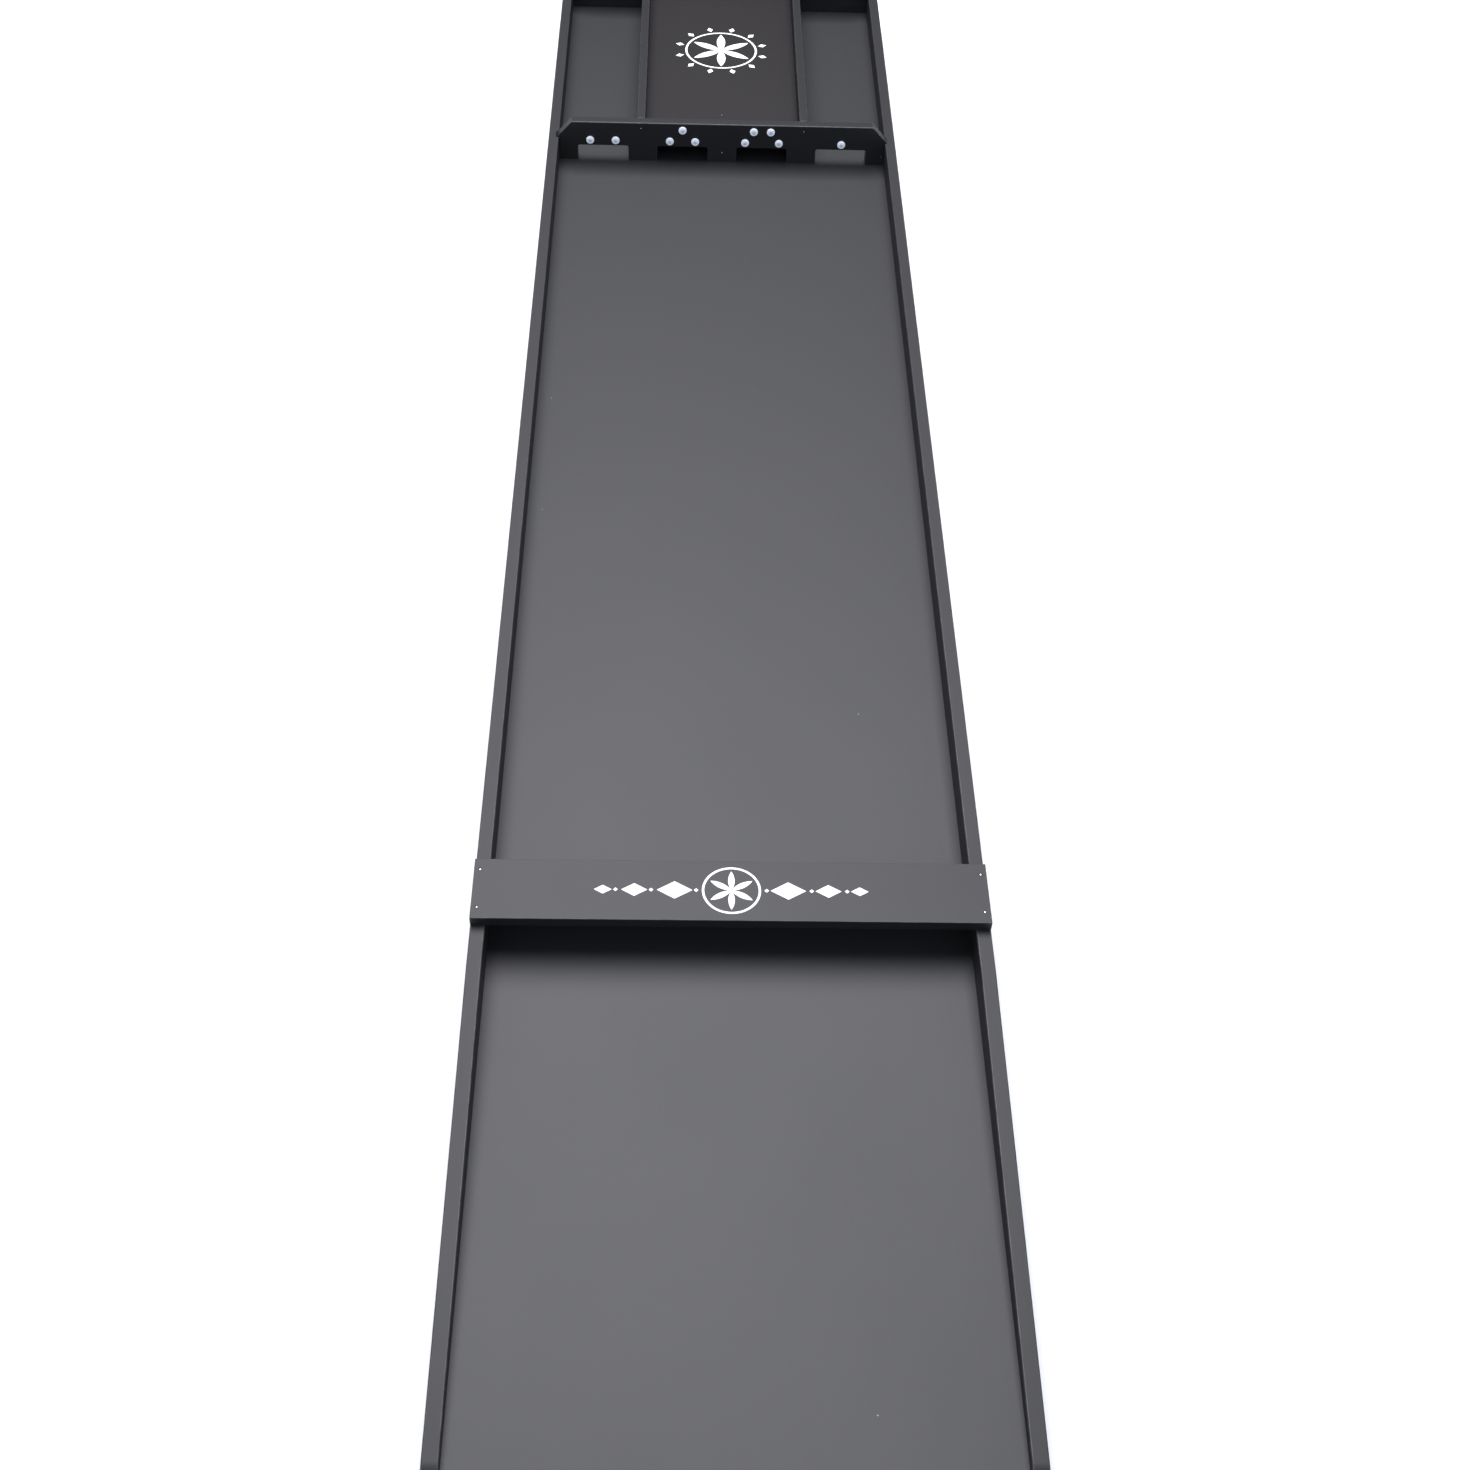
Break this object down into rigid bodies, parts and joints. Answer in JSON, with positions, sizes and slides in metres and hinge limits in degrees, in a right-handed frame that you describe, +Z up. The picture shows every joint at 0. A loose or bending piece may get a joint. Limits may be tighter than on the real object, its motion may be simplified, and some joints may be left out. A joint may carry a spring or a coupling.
{
  "type": "dutch shuffleboard",
  "caption": "Long open board for a sliding-disc game, with low side rails, a start bar across them, a bar with scoring gates, and compartments behind it.",
  "frame": {"origin": "on the table, under the middle of the board", "axes": "+X to the right as seen by the player, +Y from the player's end to the gates, +Z up"},
  "size_m": [0.41, 2, 0.08],
  "materials": {
    "rail_paint": "satin black paint on wood, faint grain along the rail",
    "surface_paint": "satin black lacquer on hardboard, finely speckled",
    "bar_paint": "satin black paint on wood",
    "cover_paint": "thin, slightly brown black paint on hardboard",
    "batten_wood": "planed softwood, unpainted",
    "nickel_nail": "polished domed nail head",
    "pin_steel": "bright steel pin",
    "print_white": "flat white printed ornament"
  },
  "bodies": {
    "root": {"left_side_rail": "rail_paint", "right_side_rail": "rail_paint", "end_board": "bar_paint", "playing_surface": "surface_paint", "front_batten": "batten_wood", "start_batten": "batten_wood", "middle_batten": "batten_wood", "gate_batten": "batten_wood", "rear_batten": "batten_wood", "start_bar": "bar_paint", "gate_bar": "bar_paint", "left_divider": "bar_paint", "right_divider": "bar_paint", "centre_divider": "bar_paint", "cover_panel": "cover_paint", "gate_two_nail_1": "nickel_nail", "gate_two_nail_2": "nickel_nail", "gate_three_nail_1": "nickel_nail", "gate_three_nail_2": "nickel_nail", "gate_three_nail_3": "nickel_nail", "gate_four_nail_1": "nickel_nail", "gate_four_nail_2": "nickel_nail", "gate_four_nail_3": "nickel_nail", "gate_four_nail_4": "nickel_nail", "gate_one_nail_1": "nickel_nail", "start_bar_pin_1": "pin_steel", "start_bar_pin_2": "pin_steel", "start_bar_pin_3": "pin_steel", "start_bar_pin_4": "pin_steel", "gate_bar_pin_1": "pin_steel", "gate_bar_pin_2": "pin_steel", "gate_bar_pin_3": "pin_steel", "cover_pin_1": "pin_steel", "cover_pin_2": "pin_steel", "left_rail_pin_1": "pin_steel", "left_rail_pin_2": "pin_steel", "left_rail_pin_3": "pin_steel", "left_rail_pin_4": "pin_steel", "left_rail_pin_5": "pin_steel", "left_rail_pin_6": "pin_steel", "left_rail_pin_7": "pin_steel", "left_rail_pin_8": "pin_steel", "right_rail_pin_1": "pin_steel", "right_rail_pin_2": "pin_steel", "right_rail_pin_3": "pin_steel", "right_rail_pin_4": "pin_steel", "right_rail_pin_5": "pin_steel", "right_rail_pin_6": "pin_steel", "right_rail_pin_7": "pin_steel", "right_rail_pin_8": "pin_steel", "end_board_pin_1": "pin_steel", "end_board_pin_2": "pin_steel", "end_board_pin_3": "pin_steel", "divider_pin_1": "pin_steel", "divider_pin_2": "pin_steel", "divider_pin_3": "pin_steel", "divider_pin_4": "pin_steel", "divider_pin_5": "pin_steel", "divider_pin_6": "pin_steel"}
  },
  "joints": []
}
